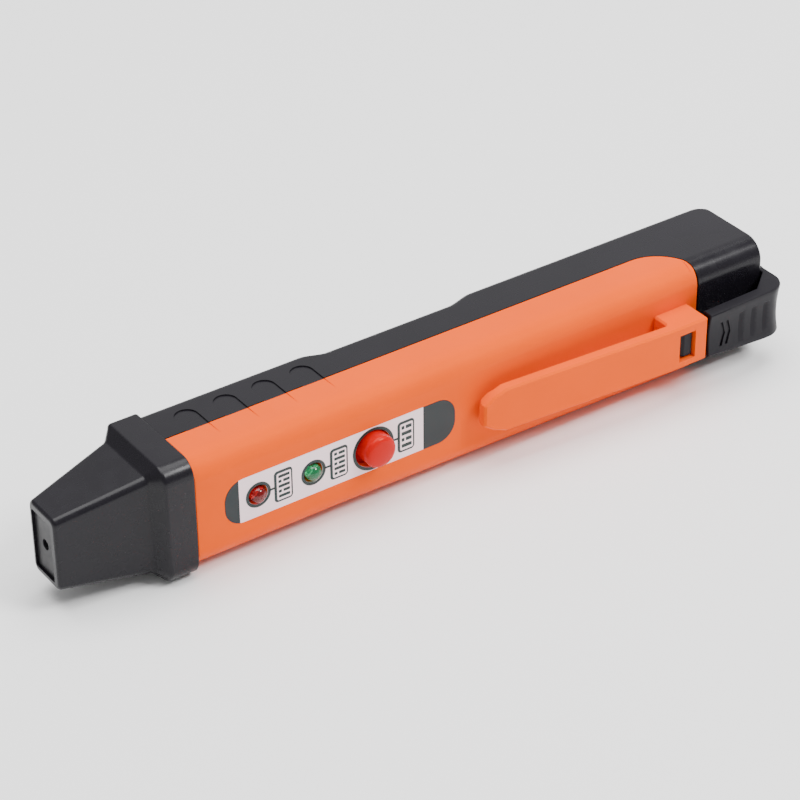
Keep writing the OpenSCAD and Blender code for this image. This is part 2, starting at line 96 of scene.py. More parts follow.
# The two shells
BODY_D = 17.6
BODY_L = 120.5
WALL = 1.6
SPLIT_Y = 9.0
FRONT_R = 4.0
BACK_R = 1.5
WAIST_D = 1.35
WAIST_X = (32.0, 35.5, 62.3, 66.5)
LOW_Z = ((0.0, 0.6), (30.0, 0.6), (100.0, -0.5), (BODY_L, -0.5))
MID_Z = 11.2
TAIL_ARC_X = 97.0
TAIL_ARC_R = 8.5
SEAM = 0.18
BULKHEAD_X = (66.3, 67.5)
END_WALL = 1.6
BAY_Y = (2.6, 15.2)
BAY_Z = (4.2, 17.8)
SCREW_X = 60.5

# The nose. The base of the cone and its tip are x, low y, high y, low z, high z
COLLAR_L = 5.6
TIP_X = -23.3
CONE_BASE = (-7.3, 2.4, 16.4, 1.6, 20.6)
CONE_TIP = (TIP_X, 4.6, 12.9, 3.8, 17.6)
RECESS = (6.0, 12.1, 4.9, 16.2)
RECESS_D = 0.5
TIP_HOLE_R = 1.0
COLLAR = (-0.4, BODY_D + 0.45, -0.1, BODY_W + 0.45)

# The controls
LABEL_R = 3.6
LABEL_SPLIT = (8.2, 45.1)
INK = 0.03
LAMP_X = (11.9, 22.75)
BUTTON_X = 34.8
BUTTON_R = 3.0
BUTTON_H = 2.7
BUTTON_SHIFT = (0.2, 0.25)
FLANGE_Y = (1.75, 2.55)
SWITCH_TOP = 4.5

# The clip and the latch
CLIP_H = 6.0
CLIP_T = 2.0
CLIP_Z = (6.7, 15.4)
CLIP_TIP = (55.7, -3.4)
BRIDGE_X = (95.3, 103.0)

WALL_X = 103.6
WALL_CORNER = (116.1, -3.8)
WALL_DISH = 0.42
GROOVE_X = (111.2, 114.1, 116.9)
DOOR_X = (BODY_L + 0.25, BODY_L + 1.55)
DOOR_R = 4.0
PIVOT_Y = 1.6


# ---------------------------------------------------------------- mesh helpers

def place(points):
    """Pen millimetres to frame metres."""
    return np.asarray(points, float) * MM + np.array(ORIGIN)


def mesh_object(name, points, faces):
    """A new object from points in pen millimetres."""
    mesh = bpy.data.meshes.new(name)
    mesh.from_pydata([tuple(p) for p in place(points)], [], faces)
    obj = bpy.data.objects.new(name, mesh)
    bpy.context.scene.collection.objects.link(obj)
    repair(obj)
    return obj


def repair(obj, merge=1e-7):
    """Merges doubled points and turns the faces outwards."""
    bm = bmesh.new()
    bm.from_mesh(obj.data)
    bmesh.ops.remove_doubles(bm, verts=bm.verts, dist=merge)
    bmesh.ops.dissolve_degenerate(bm, dist=merge, edges=bm.edges)
    bmesh.ops.recalc_face_normals(bm, faces=bm.faces)
    bm.to_mesh(obj.data)
    bm.free()


def apply_modifiers(obj):
    """Makes what the modifiers give the object's own mesh."""
    graph = bpy.context.evaluated_depsgraph_get()
    mesh = bpy.data.meshes.new_from_object(obj.evaluated_get(graph))
    obj.modifiers.clear()
    old = obj.data
    obj.data = mesh
    bpy.data.meshes.remove(old)


def boolean(obj, other, operation="DIFFERENCE"):
    """Cuts other out of obj, or adds it, and removes other."""
    modifier = obj.modifiers.new("boolean", "BOOLEAN")
    modifier.operation = operation
    modifier.solver = "EXACT"
    modifier.object = other
    apply_modifiers(obj)
    bpy.data.objects.remove(other)
    return obj


def soften(obj, width, segments=2, angle=35):
    """Rounds the edges that are sharper than angle."""
    modifier = obj.modifiers.new("bevel", "BEVEL")
    modifier.width = width * MM
    modifier.segments = segments
    modifier.limit_method = "ANGLE"
    modifier.angle_limit = math.radians(angle)
    modifier.use_clamp_overlap = True
    modifier.miter_outer = "MITER_ARC"
    apply_modifiers(obj)
    return obj


def smooth(obj, angle=32):
    """Smooth shading that keeps flat faces flat and sharp edges sharp."""
    mesh = obj.data
    mesh.polygons.foreach_set("use_smooth", [True] * len(mesh.polygons))
    mesh.set_sharp_from_angle(angle=math.radians(angle))
    modifier = obj.modifiers.new("normals", "WEIGHTED_NORMAL")
    modifier.keep_sharp = True
    modifier.weight = 80
    apply_modifiers(obj)
    return obj


def loft(name, loops, closed=False):
    """Joins loops with equally many points, and closes both ends unless the loft is a ring."""
    loops = np.asarray(loops, float)
    count, n = loops.shape[:2]
    faces = []
    for i in range(count if closed else count - 1):
        j = (i + 1) % count
        for k in range(n):
            m = (k + 1) % n
            faces.append((i * n + k, i * n + m, j * n + m, j * n + k))
    if not closed:
        faces.append(tuple(reversed(range(n))))
        faces.append(tuple(range((count - 1) * n, count * n)))
    return mesh_object(name, loops.reshape(-1, 3), faces)


def block(name, x, y, z):
    """A box between two corners."""
    return prism_z(name, [(x[0], y[0]), (x[1], y[0]), (x[1], y[1]), (x[0], y[1])], z)


def circle(r, steps):
    """Points round a circle."""
    turns = [2 * math.pi * i / steps for i in range(steps)]
    return [(r * math.cos(a), r * math.sin(a)) for a in turns]


def lathe(name, x, z, profile, steps=64, closed=False):
    """Turns a profile of (radius, y) about an axis along Y."""
    loops = [[(x + a, y, z + b) for a, b in circle(r, steps)] for r, y in profile]
    return loft(name, loops, closed)


def prism_z(name, plan, z):
    """A plan in x and y, raised from one z to another."""
    return loft(name, [[(x, y, zz) for x, y in plan] for zz in z])


def prism_y(name, side, y):
    """An outline in x and z, drawn out from one y to another."""
    return loft(name, [[(x, yy, z) for x, z in side] for yy in y])


def prism_x(name, outline, x):
    """An outline in y and z, drawn out from one x to another."""
    return loft(name, [[(xx, y, z) for y, z in outline] for xx in x])


def arc(cx, cy, r, start, end, steps):
    """Points on a circle's arc, angles in degrees."""
    return [(cx + r * math.cos(math.radians(start + (end - start) * i / steps)),
             cy + r * math.sin(math.radians(start + (end - start) * i / steps)))
            for i in range(steps + 1)]


def rounded_rect(a0, a1, b0, b1, radii, steps=6):
    """A rectangle with a radius at each corner: low-low, high-low, high-high, low-high."""
    r = [max(v, 1e-3) for v in radii]
    return (arc(a0 + r[0], b0 + r[0], r[0], 180, 270, steps)
            + arc(a1 - r[1], b0 + r[1], r[1], 270, 360, steps)
            + arc(a1 - r[2], b1 - r[2], r[2], 0, 90, steps)
            + arc(a0 + r[3], b1 - r[3], r[3], 90, 180, steps))


def section(x, y0, y1, z0, z1, front_r, back_r, steps=10):
    """A rounded section across the pen at one x."""
    outline = rounded_rect(y0, y1, z0, z1, (front_r, back_r, back_r, front_r), steps)
    return [(x, y, z) for y, z in outline]


def low_z(x):
    """Height of the lower side, which rises a little towards the nose."""
    return float(np.interp(x, [p[0] for p in LOW_Z], [p[1] for p in LOW_Z]))


def back_y(x):
    """Depth of the back, with its waist and softly rounded bends."""
    nearby = [x + d for d in (-0.7, -0.35, 0.0, 0.35, 0.7)]
    return BODY_D - float(np.mean(np.interp(nearby, WAIST_X, (0.0, WAIST_D, WAIST_D, 0.0))))


# ---------------------------------------------------------------- materials

def noise(nodes, links, coords, scale, detail, stretch=(1, 1, 1)):
    """Noise in the object's own coordinates; scale counts its grains in a metre."""
    mapping = nodes.new("ShaderNodeMapping")
    mapping.inputs["Scale"].default_value = stretch
    links.new(coords, mapping.inputs["Vector"])
    texture = nodes.new("ShaderNodeTexNoise")
    texture.inputs["Scale"].default_value = scale
    texture.inputs["Detail"].default_value = detail
    links.new(mapping.outputs["Vector"], texture.inputs["Vector"])
    return texture.outputs["Fac"]


def remap(nodes, links, value, low, high):
    """Spreads the middle of a noise from low to high."""
    node = nodes.new("ShaderNodeMapRange")
    node.inputs["From Min"].default_value = 0.3
    node.inputs["From Max"].default_value = 0.7
    node.inputs["To Min"].default_value = low
    node.inputs["To Max"].default_value = high
    links.new(value, node.inputs["Value"])
    return node.outputs["Result"]


MOTTLE_SCALE = 70.0
PATCH_SCALE = 420.0
LINE_SCALE = 900.0


def bump_node(nodes, links, height, depth):
    """A bump whose depth is in hundredths of a millimetre."""
    node = nodes.new("ShaderNodeBump")
    node.inputs["Strength"].default_value = 1.0
    node.inputs["Distance"].default_value = depth * 1e-5
    links.new(height, node.inputs["Height"])
    return node


def finish_material(name, colour, rough=0.45, metal=0.0, grain=0.25, grain_size=0.25,
                    mottle=0.05, rough_swing=0.06, scratch=0.0, **constants):
    """A Principled material with grain, faint colour variation and worn patches.

    grain is the depth of the moulded texture in hundredths of a millimetre and grain_size its
    size in millimetres. scratch is the depth of fine drawn lines along x. The constants go
    straight onto the shader's sockets.
    """
    material = bpy.data.materials.new(name)
    material.use_nodes = True
    nodes, links = material.node_tree.nodes, material.node_tree.links
    shader = nodes["Principled BSDF"]
    coords = nodes.new("ShaderNodeTexCoord").outputs["Object"]
    shader.inputs["Metallic"].default_value = metal
    for key, value in constants.items():
        shader.inputs[key.replace("_", " ")].default_value = value

    clouds = noise(nodes, links, coords, MOTTLE_SCALE, 4.0)
    mix = nodes.new("ShaderNodeMix")
    mix.data_type = "RGBA"
    mix.inputs["A"].default_value = (*[c * (1 - mottle) for c in colour], 1)
    mix.inputs["B"].default_value = (*[min(1, c * (1 + mottle)) for c in colour], 1)
    links.new(remap(nodes, links, clouds, 0.0, 1.0), mix.inputs["Factor"])
    links.new(mix.outputs["Result"], shader.inputs["Base Color"])

    patches = noise(nodes, links, coords, PATCH_SCALE, 5.0)
    roughness = remap(nodes, links, patches, rough - rough_swing, rough + rough_swing)
    links.new(roughness, shader.inputs["Roughness"])

    bump = bump_node(nodes, links, noise(nodes, links, coords, 1 / (grain_size * MM), 2.0), grain)
    if scratch:
        lines = noise(nodes, links, coords, LINE_SCALE, 3.0, stretch=(0.06, 1.6, 1.6))
        fine = bump_node(nodes, links, lines, scratch)
        links.new(bump.outputs["Normal"], fine.inputs["Normal"])
        bump = fine
    links.new(bump.outputs["Normal"], shader.inputs["Normal"])
    return material


MATERIALS = {
    "orange_shell": finish_material(
        "orange_plastic", (0.84, 0.091, 0.0), 0.42, grain=0.35, grain_size=0.22, mottle=0.03,
        Specular_IOR_Level=0.14, Specular_Tint=(1.0, 0.3, 0.0, 1)),
    "black_shell": finish_material(
        "black_plastic", (0.0084, 0.0074, 0.0104), 0.27, grain=0.2, grain_size=0.2,
        mottle=0.12, Specular_IOR_Level=0.23),
    # This black is a little lighter than the shell's as painted light: it stands in for the light grey
    # reflection on the tip plate's face.
    "black_trim": finish_material(
        "black_trim", (0.013, 0.0125, 0.0145), 0.42, grain=0.3, grain_size=0.18, mottle=0.1,
        Specular_IOR_Level=0.3),
    "label_film": finish_material(
        "label_film", (0.97, 0.76, 0.80), 0.36, grain=0.06, grain_size=0.4, mottle=0.015,
        Specular_IOR_Level=0.3),
    "red_lens": finish_material(
        "red_lens", (0.46, 0.003, 0.003), 0.08, grain=0.02, grain_size=0.6, mottle=0.05,
        rough_swing=0.03, Transmission_Weight=0.75, IOR=1.5),
    "green_lens": finish_material(
        "green_lens", (0.03, 0.46, 0.16), 0.08, grain=0.02, grain_size=0.6, mottle=0.05,
        rough_swing=0.03, Transmission_Weight=0.75, IOR=1.5),
    "button_red": finish_material(
        "button_plastic", (0.50, 0.0015, 0.002), 0.22, grain=0.08, grain_size=0.5, mottle=0.04,
        Specular_IOR_Level=0.3, Specular_Tint=(1.0, 0.35, 0.25, 1)),
    "white_nylon": finish_material("white_nylon", (0.78, 0.77, 0.72), 0.5),
    "board_green": finish_material(
        "solder_mask", (0.015, 0.13, 0.05), 0.3, grain=0.1, grain_size=0.5, mottle=0.2),
    "chip_black": finish_material(
        "chip_epoxy", (0.02, 0.02, 0.022), 0.55, grain=0.4, grain_size=0.1, mottle=0.1),
    "ceramic_tan": finish_material("ceramic", (0.42, 0.27, 0.15), 0.5, grain=0.2),
    "tinned_metal": finish_material(
        "tinned_metal", (0.72, 0.72, 0.70), 0.28, metal=1.0, grain=0.08, scratch=0.08),
    "spring_steel": finish_material(
        "spring_steel", (0.62, 0.62, 0.64), 0.3, metal=1.0, grain=0.05, scratch=0.1),
    "contact_brass": finish_material(
        "contact_brass", (0.78, 0.55, 0.22), 0.3, metal=1.0, grain=0.05, scratch=0.1),
    "cell_wrap": finish_material(
        "cell_wrap", (0.03, 0.09, 0.17), 0.25, grain=0.05, grain_size=1.2, Coat_Weight=0.4),
    "wire_red": finish_material("wire_red", (0.5, 0.02, 0.015), 0.4, grain=0.05),
    "wire_black": finish_material("wire_black", (0.02, 0.02, 0.02), 0.4, grain=0.05),
    "screw_steel": finish_material(
        "screw_steel", (0.55, 0.55, 0.56), 0.32, metal=1.0, grain=0.1, scratch=0.1),
}
LATCH_BLACK = finish_material(
    "latch_plastic", (0.0084, 0.0074, 0.0104), 0.38, grain=0.2, grain_size=0.2, mottle=0.12,
    Specular_IOR_Level=0.14)
PRINT = finish_material(
    "label_print", (0.011, 0.018, 0.020), 0.38, grain=0.05, grain_size=0.4, mottle=0.05,
    Specular_IOR_Level=0.3)
PRINT_LINE = finish_material(
    "print_line", (0.013, 0.027, 0.026), 0.38, grain=0.05, grain_size=0.4, mottle=0.05,
    Specular_IOR_Level=0.3)


def piece(obj, body, slot, replaces=(), material=None, angle=32):
    """Shades a finished mesh, gives it its material and ties it to its body."""
    smooth(obj, angle)
    obj.data.materials.clear()
    obj.data.materials.append(material or MATERIALS[slot])
    if body:
        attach(obj, body)
    if replaces:
        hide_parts(*replaces)
    return obj


# ---------------------------------------------------------------- stage, camera and light

CAMERA_TARGET = (40.34, 0.0, 18.81)
CAMERA_AZIMUTH = -34.73
CAMERA_ELEVATION = 33.55
CAMERA_ROLL = -0.545
CAMERA_DISTANCE = 461.4
CAMERA_LENS = 124.07


def camera():
    """Looks at the target from its azimuth and elevation, turned by a small roll."""
    a, e, roll = (math.radians(v) for v in (CAMERA_AZIMUTH, CAMERA_ELEVATION, CAMERA_ROLL))
    back = Vector((math.sin(a) * math.cos(e), -math.cos(a) * math.cos(e), math.sin(e)))
    right = Vector((math.cos(a), math.sin(a), 0.0))
    up = back.cross(right)
    x_axis = math.cos(roll) * right + math.sin(roll) * up
    y_axis = -math.sin(roll) * right + math.cos(roll) * up
    data = bpy.data.cameras.new("camera")
    data.lens = CAMERA_LENS
    data.sensor_width = 36.0
    data.clip_start = 0.01
    obj = bpy.data.objects.new("camera", data)
    bpy.context.scene.collection.objects.link(obj)
    target = Vector(place(CAMERA_TARGET))
    obj.matrix_world = (Matrix.Translation(target + CAMERA_DISTANCE * MM * back)
                        @ Matrix((x_axis, y_axis, back)).transposed().to_4x4())
    bpy.context.scene.camera = obj


def floor():
    """A pale floor under the pen."""
    size = 3.0
    mesh = bpy.data.meshes.new("floor")
    z = cad_box[0][2]
    mesh.from_pydata([(-size, -size, z), (size, -size, z), (size, size, z), (-size, size, z)],
                     [], [(0, 1, 2, 3)])
    obj = bpy.data.objects.new("floor", mesh)
    bpy.context.scene.collection.objects.link(obj)
    obj.data.materials.append(finish_material(
        "floor_paper", (0.93, 0.93, 0.93), 0.75, grain=0.5, grain_size=2.0, mottle=0.0))


def area_light(name, direction, distance, size, power):
    """A softbox at a distance in metres, turned towards the pen."""
    data = bpy.data.lights.new(name, "AREA")
    data.shape = "RECTANGLE"
    data.size, data.size_y = size
    data.energy = power
    obj = bpy.data.objects.new(name, data)
    bpy.context.scene.collection.objects.link(obj)
    way = Vector(direction).normalized()
    obj.location = way * distance
    obj.rotation_euler = way.to_track_quat("Z", "Y").to_euler()


def lights():
    """An even white room, a small key, a large top light and one behind the pen."""
    world = bpy.data.worlds.new("studio")
    world.use_nodes = True
    background = world.node_tree.nodes["Background"]
    background.inputs["Color"].default_value = (1.0, 1.0, 1.0, 1)
    background.inputs["Strength"].default_value = 0.5
    bpy.context.scene.world = world
    area_light("key", (0.42, -0.50, 0.78), 0.9, (0.30, 0.24), 6.5)
    area_light("top", (0.05, 0.10, 1.0), 1.2, (1.2, 1.0), 25.0)
    area_light("rear", (0.50, 0.66, 0.55), 1.5, (1.7, 1.2), 4.2)


camera()
floor()
lights()


# ---------------------------------------------------------------- rear shell

def plan_curve(grow, steps=40):
    """Tail end of the front shell in plan, from the label face to the seam's depth."""
    return [(TAIL_ARC_X + (TAIL_ARC_R + grow) * math.cos(math.radians(90.0 * i / steps)),
             (SPLIT_Y + grow) * math.sin(math.radians(90.0 * i / steps)))
            for i in range(steps + 1)]


def cavity(part):
    """The space inside the shells, as two boxes, with the screw's boss left standing."""
    top = BODY_W - WALL
    front = block("cavity_front", (-1, BULKHEAD_X[0]), (WALL, BODY_D - WAIST_D - WALL),
                  (LOW_Z[0][1] + WALL, top))
    boss = 3.2 if part == "rear" else 2.5
    reach = (SPLIT_Y, BODY_D) if part == "rear" else (0.0, SPLIT_Y)
    boolean(front, lathe("boss", SCREW_X, MID_Z, [(boss, reach[0]), (boss, reach[1])], 32))
    rear = block("cavity_rear", (BULKHEAD_X[1], BODY_L - END_WALL), (WALL, BODY_D - WALL - 0.5),
                 (LOW_Z[-1][1] + WALL + 1, top))
    return front, rear


def scallop_cutters():
    """Four finger-shaped recesses a side that fade out towards the label face."""
    depth, flare, radius = 0.2, 0.12, 2.15
    fade_y, full_y, centre_y = 5.0, 9.0, 12.5
    stations = [fade_y, 6.0, 7.0, 8.0, 9.5, centre_y]
    stations += [centre_y + radius * math.sin(math.radians(a)) for a in range(8, 91, 6)]
    cutters = []
    for x in (6.4 + 7.55 * i for i in range(4)):
        for side, face in ((-1, low_z(x)), (1, BODY_W)):
            loops = []
            for y in stations:
                reach = max(0.0, y - centre_y) / radius
                half = radius * math.sqrt(max(0.0, 1 - reach * reach))
                sunk = depth * min(1.0, (y - fade_y) / (full_y - fade_y))
                inner, outer = face - side * sunk, face + side
                loops.append([(x - half + flare / 2, y, inner), (x + half - flare / 2, y, inner),
                              (x + half + flare, y + flare, outer),
                              (x - half - flare, y + flare, outer)])
            cutters.append(loft("scallop", loops))
    return cutters


def round_off(left, r):
    """How far a rounded end of radius r draws in at a distance from its tip."""
    return r - math.sqrt(max(0.0, r * r - max(0.0, r - left) ** 2))


def rear_shell():
    """The black half: its lofted outside, less the front shell's plan, the inside, the battery
    bay, the screw's hole and the scallops."""
    edge, end_r, back_end = 0.15, 0.6, 2.8
    seam, beyond = 0.05, -5.0
    xs = [edge, 2.0, 30.8]
    xs += list(np.arange(31.2, 36.6, 0.3)) + [45.0, 55.0]
    xs += list(np.arange(61.4, 67.6, 0.3)) + [75.0, 85.0, 97.0, 100.0, 110.0]
    loops = [section(0.0, edge, back_y(0) - edge, low_z(0) + edge, BODY_W - edge,
                     FRONT_R - edge, BACK_R - edge, 12)]
    loops += [section(x, 0, back_y(x), low_z(x), BODY_W, FRONT_R, BACK_R, 12) for x in xs]
    bends = [back_end * (1 - math.sin(math.radians(a))) for a in range(0, 55, 9)]
    bends += [end_r * (1 - math.sin(math.radians(a))) for a in range(0, 91, 10)]
    for left in sorted(bends, reverse=True):
        inset, deep = round_off(left, end_r), round_off(left, back_end)
        x = BODY_L - left
        loops.append(section(x, inset, BODY_D - deep, low_z(x) + inset, BODY_W - inset,
                             FRONT_R - inset, BACK_R, 12))
    shell = loft("rear_shell_skin", loops)
    plan = plan_curve(seam) + [(beyond, SPLIT_Y + seam), (beyond, beyond),
                               (TAIL_ARC_X + TAIL_ARC_R + seam, beyond)]
    boolean(shell, prism_z("front_plan", plan, (beyond, BODY_W - beyond)))
    for cutter in cavity("rear"):
        boolean(shell, cutter)
    boolean(shell, block("bay", (BODY_L - END_WALL - 1, BODY_L + 1), BAY_Y, BAY_Z))
    screw_hole = [(1.15, 0.0), (1.15, 12.2), (2.2, 12.2), (2.2, 15.9), (2.6, 16.3), (2.6, 19)]
    boolean(shell, lathe("counterbore", SCREW_X, MID_Z, screw_hole, 48))
    for cutter in scallop_cutters():
        boolean(shell, cutter)
    return piece(shell, "root", "black_shell", ["rear_shell"])


# ---------------------------------------------------------------- front shell

def label_outline(grow, steps):
    """The label's outline in x and z, grown by a small amount."""
    return rounded_rect(LABEL_X[0] - grow, LABEL_X[1] + grow, LABEL_Z[0] - grow, LABEL_Z[1] + grow,
                        [LABEL_R + grow] * 4, steps)


def u_outline(x, limit, side_steps=6, arc_steps=12):
    """The outside of the front shell at one x, from the top side round the face to the low side,
    as far back as limit."""
    low = low_z(x)

    def half(sign, corner_z):
        if limit >= FRONT_R:
            side = [(FRONT_R + (limit - FRONT_R) * (1 - i / side_steps), FRONT_R)
                    for i in range(side_steps)]
            bend = [(FRONT_R - FRONT_R * math.sin(math.radians(a)),
                     FRONT_R * math.cos(math.radians(a)))
                    for a in np.linspace(0, 90, arc_steps + 1)]
        else:
            start = math.degrees(math.asin((FRONT_R - limit) / FRONT_R))
            side = []
            bend = [(FRONT_R - FRONT_R * math.sin(math.radians(a)),
                     FRONT_R * math.cos(math.radians(a)))
                    for a in np.linspace(start, 90, arc_steps + side_steps + 1)]
        return [(y, corner_z + sign * h) for y, h in side + bend]

    top = half(1, BODY_W - FRONT_R)
    bottom = half(-1, low + FRONT_R)
    return top + bottom[::-1]


def u_loop(xo, yo, xe, ye, sunk=0.0):
    """A U whose skin ends at (xo, yo) and whose bevelled edges end at (xe, ye). The face may be
    sunk a little, for the fine line across it."""
    skin = [(xo, y + (sunk if y < 1.5 else 0.0), z) for y, z in u_outline(xo, yo)]
    return [(xe, ye, skin[0][2] - SEAM)] + skin + [(xe, ye, skin[-1][2] + SEAM)]


def drawn_in(loop, d):
    """The nose end of the front shell: a loop at x = 0 that is drawn in by d."""
    points = []
    for _, y, z in loop:
        if y < 2.0:
            y += d
        elif y < SPLIT_Y - 0.3:
            y += d * 0.3
        points.append((0.0, y, z - d if z > MID_Z else z + d))
    return points


def front_shell():
    """The orange half: U-shaped loops along the pen, then round the tail's curve in plan."""
    end_angle, steps = 11.0, 30
    line_x = (53.02, 53.08, 53.16, 53.22)
    loops = []
    for x in (0.2, 2.0, 15.0, 30.0, 50.0, *line_x, 70.0, 90.0, 96.9):
        sunk = 0.03 if x in line_x[1:3] else 0.0
        loops.append(u_loop(x, SPLIT_Y - SEAM, x, SPLIT_Y, sunk))
    for i in range(1, steps + 1):
        a = math.radians(90.0 - (90.0 - end_angle) * i / steps)
        loops.append(u_loop(TAIL_ARC_X + (TAIL_ARC_R - SEAM) * math.cos(a),
                            (SPLIT_Y - SEAM) * math.sin(a),
                            TAIL_ARC_X + TAIL_ARC_R * math.cos(a), SPLIT_Y * math.sin(a)))
    loops.insert(0, drawn_in(loops[0], 0.2))
    tail = loops[-1]
    tail_x, tail_y = tail[0][0], tail[0][1]
    inner = tail_y - SEAM
    mid = (tail[0][2] + tail[-1][2]) / 2
    end = [(tail_x, SEAM + y * inner / tail_y, z + math.copysign(SEAM, mid - z))
           for _, y, z in tail[1:-1]]
    loops.append([tail[0]] + end + [tail[-1]])
    shell = loft("front_shell_skin", loops)
    for cutter in cavity("front"):
        boolean(shell, cutter)
    gap, floor_y = 0.06, 0.33
    boolean(shell, prism_y("recess", label_outline(gap, 12), (-1.0, floor_y)))
    for x, r in ((LAMP_X[0], 1.85), (LAMP_X[1], 1.85), (BUTTON_X, 3.55)):
        hole = [(r + 0.13, -1), (r + 0.13, floor_y), (r, 0.5), (r, 3.0)]
        boolean(shell, lathe("control_hole", x, MID_Z, hole))
    for cutter in scallop_cutters():
        boolean(shell, cutter)
    return piece(shell, "root", "orange_shell", ["front_shell"])


# ---------------------------------------------------------------- clip

def pocket_clip():
    """The clip arm and its hollow bridge in one piece, as it is moulded."""
    x1, y1 = CLIP_TIP
    z0, z1 = CLIP_Z
    under, foot, tail = y1 + CLIP_T, 0.12, BRIDGE_X[1] + 1
    plan = [(BRIDGE_X[1], -CLIP_H), (BRIDGE_X[0], -CLIP_H), (x1, y1), (x1, under - 0.2),
            (x1 + 0.5, under + 0.35), (x1 + 1.5, under + 0.35), (x1 + 2.9, under),
            (BRIDGE_X[0], -CLIP_H + CLIP_T + 0.3), (BRIDGE_X[0], foot), (BRIDGE_X[1], foot)]
    clip = prism_z("pocket_clip_skin", plan, CLIP_Z)
    corner = [(6.9, -1), (4.4, 0), (1.9, 0.95), (-0.001, 2.3)]
    side = [(tail, z0 - 1)]
    side += [(x1 + dx, z0 + dz) for dx, dz in corner]
    side += [(x1 + dx, z1 - dz) for dx, dz in reversed(corner)]
    side += [(tail, z1 + 1)]
    boolean(clip, prism_y("clip_side", side, (-8.0, 2.0)), "INTERSECT")
    soften(clip, 0.34, 1, 60)
    boolean(clip, block("slot", (96.2, tail), (-4.6, -0.4), (7.8, 14.2)))
    boolean(clip, block("window", (96.6, 100.2), (-CLIP_H - 1, -3.6), (8.2, 13.7)))
    piece(clip, None, "orange_shell", ["pocket_clip"])
    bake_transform(clip)
    return clip


# ---------------------------------------------------------------- nose

def nose_cap():
    """The collar and the cone in one loft, with the recess in the tip and the inside cut out."""
    y0, y1, z0, z1 = COLLAR

    def collar(x, inset):
        return section(x, y0 + inset, y1 - inset, z0 + inset, z1 - inset,
                       3.0 - inset * 0.6, 0.9 - inset * 0.5, 10)

    def cone(t, inset=0.0):
        a, b = CONE_BASE, CONE_TIP
        v = [a[i] + (b[i] - a[i]) * t for i in range(5)]
        return section(v[0], v[1] + inset, v[2] - inset, v[3] + inset, v[4] - inset,
                       max(0.4, 1.4 - 0.2 * t - inset * 0.5), max(0.4, 1.3 - inset * 0.5), 10)

    loops = [collar(-0.05, 0.28), collar(-0.13, 0.1), collar(-0.33, 0.0), collar(-COLLAR_L + 0.6, 0.0),
             collar(-COLLAR_L + 0.28, 0.06), collar(-COLLAR_L + 0.05, 0.22),
             collar(-COLLAR_L - 0.12, 0.48)]
    foot = section(CONE_BASE[0] + 0.3, CONE_BASE[1] - 0.22, CONE_BASE[2] + 0.15,
                   CONE_BASE[3] - 0.25, CONE_BASE[4] + 0.22, 1.6, 1.3, 10)
    loops += [foot, cone(0.008), cone(0.5), cone(0.965)]
    for a in (20, 45, 70, 90):
        inset = 0.55 * (1 - math.cos(math.radians(a)))
        loops.append(cone(0.965 + 0.035 * math.sin(math.radians(a)), inset))
    nose = loft("nose_cap_skin", loops)
    recess = rounded_rect(*RECESS, (0.3, 0.3, 0.5, 1.0), 6)
    boolean(nose, prism_x("tip_recess", recess, (TIP_X - 1, TIP_X + 3)))
    ends = ((1.0, 3.2, 13.2, 3.6, 19.2), (TIP_X + 2.5, 6.0, 11.2, 5.8, 16.0))
    inner = [[(x, low, z_low), (x, high, z_low), (x, high, z_high), (x, low, z_high)]
             for x, low, high, z_low, z_high in ends]
    boolean(nose, loft("nose_inside", inner))
    return piece(nose, "root", "black_shell", ["nose_cap"])


def tip_plate():
    """The small plate in the tip, with the sensing hole in its middle."""
    gap, x = 0.02, TIP_X + RECESS_D
    y0, y1, z0, z1 = RECESS
    face = rounded_rect(y0 + gap, y1 - gap, z0 + gap, z1 - gap, (0.28, 0.28, 0.48, 0.98), 6)
    plate = prism_x("tip_plate_skin", face, (x + 1.0, x))
    rings = ((0.2, -0.3), (0.02, -0.02), (-0.05, 0.06), (-0.05, 0.7))
    hole = [[(x + dx, (y0 + y1) / 2 + a, (z0 + z1) / 2 + b) for a, b in circle(TIP_HOLE_R + dr, 40)]
            for dr, dx in rings]
    boolean(plate, loft("tip_hole", hole))
    # The plate's material is a little lighter than the shell's black, painted light for the reflection
    # on its face.
    return piece(plate, "root", "black_trim", ["tip_plate"])


# ---------------------------------------------------------------- label

def printed(name, shape, y=(-INK, 0.05)):
    """A printed line or mark on the label, from its outline in x and z."""
    piece(prism_y(name, shape, y), "root", "label_film", material=PRINT_LINE)


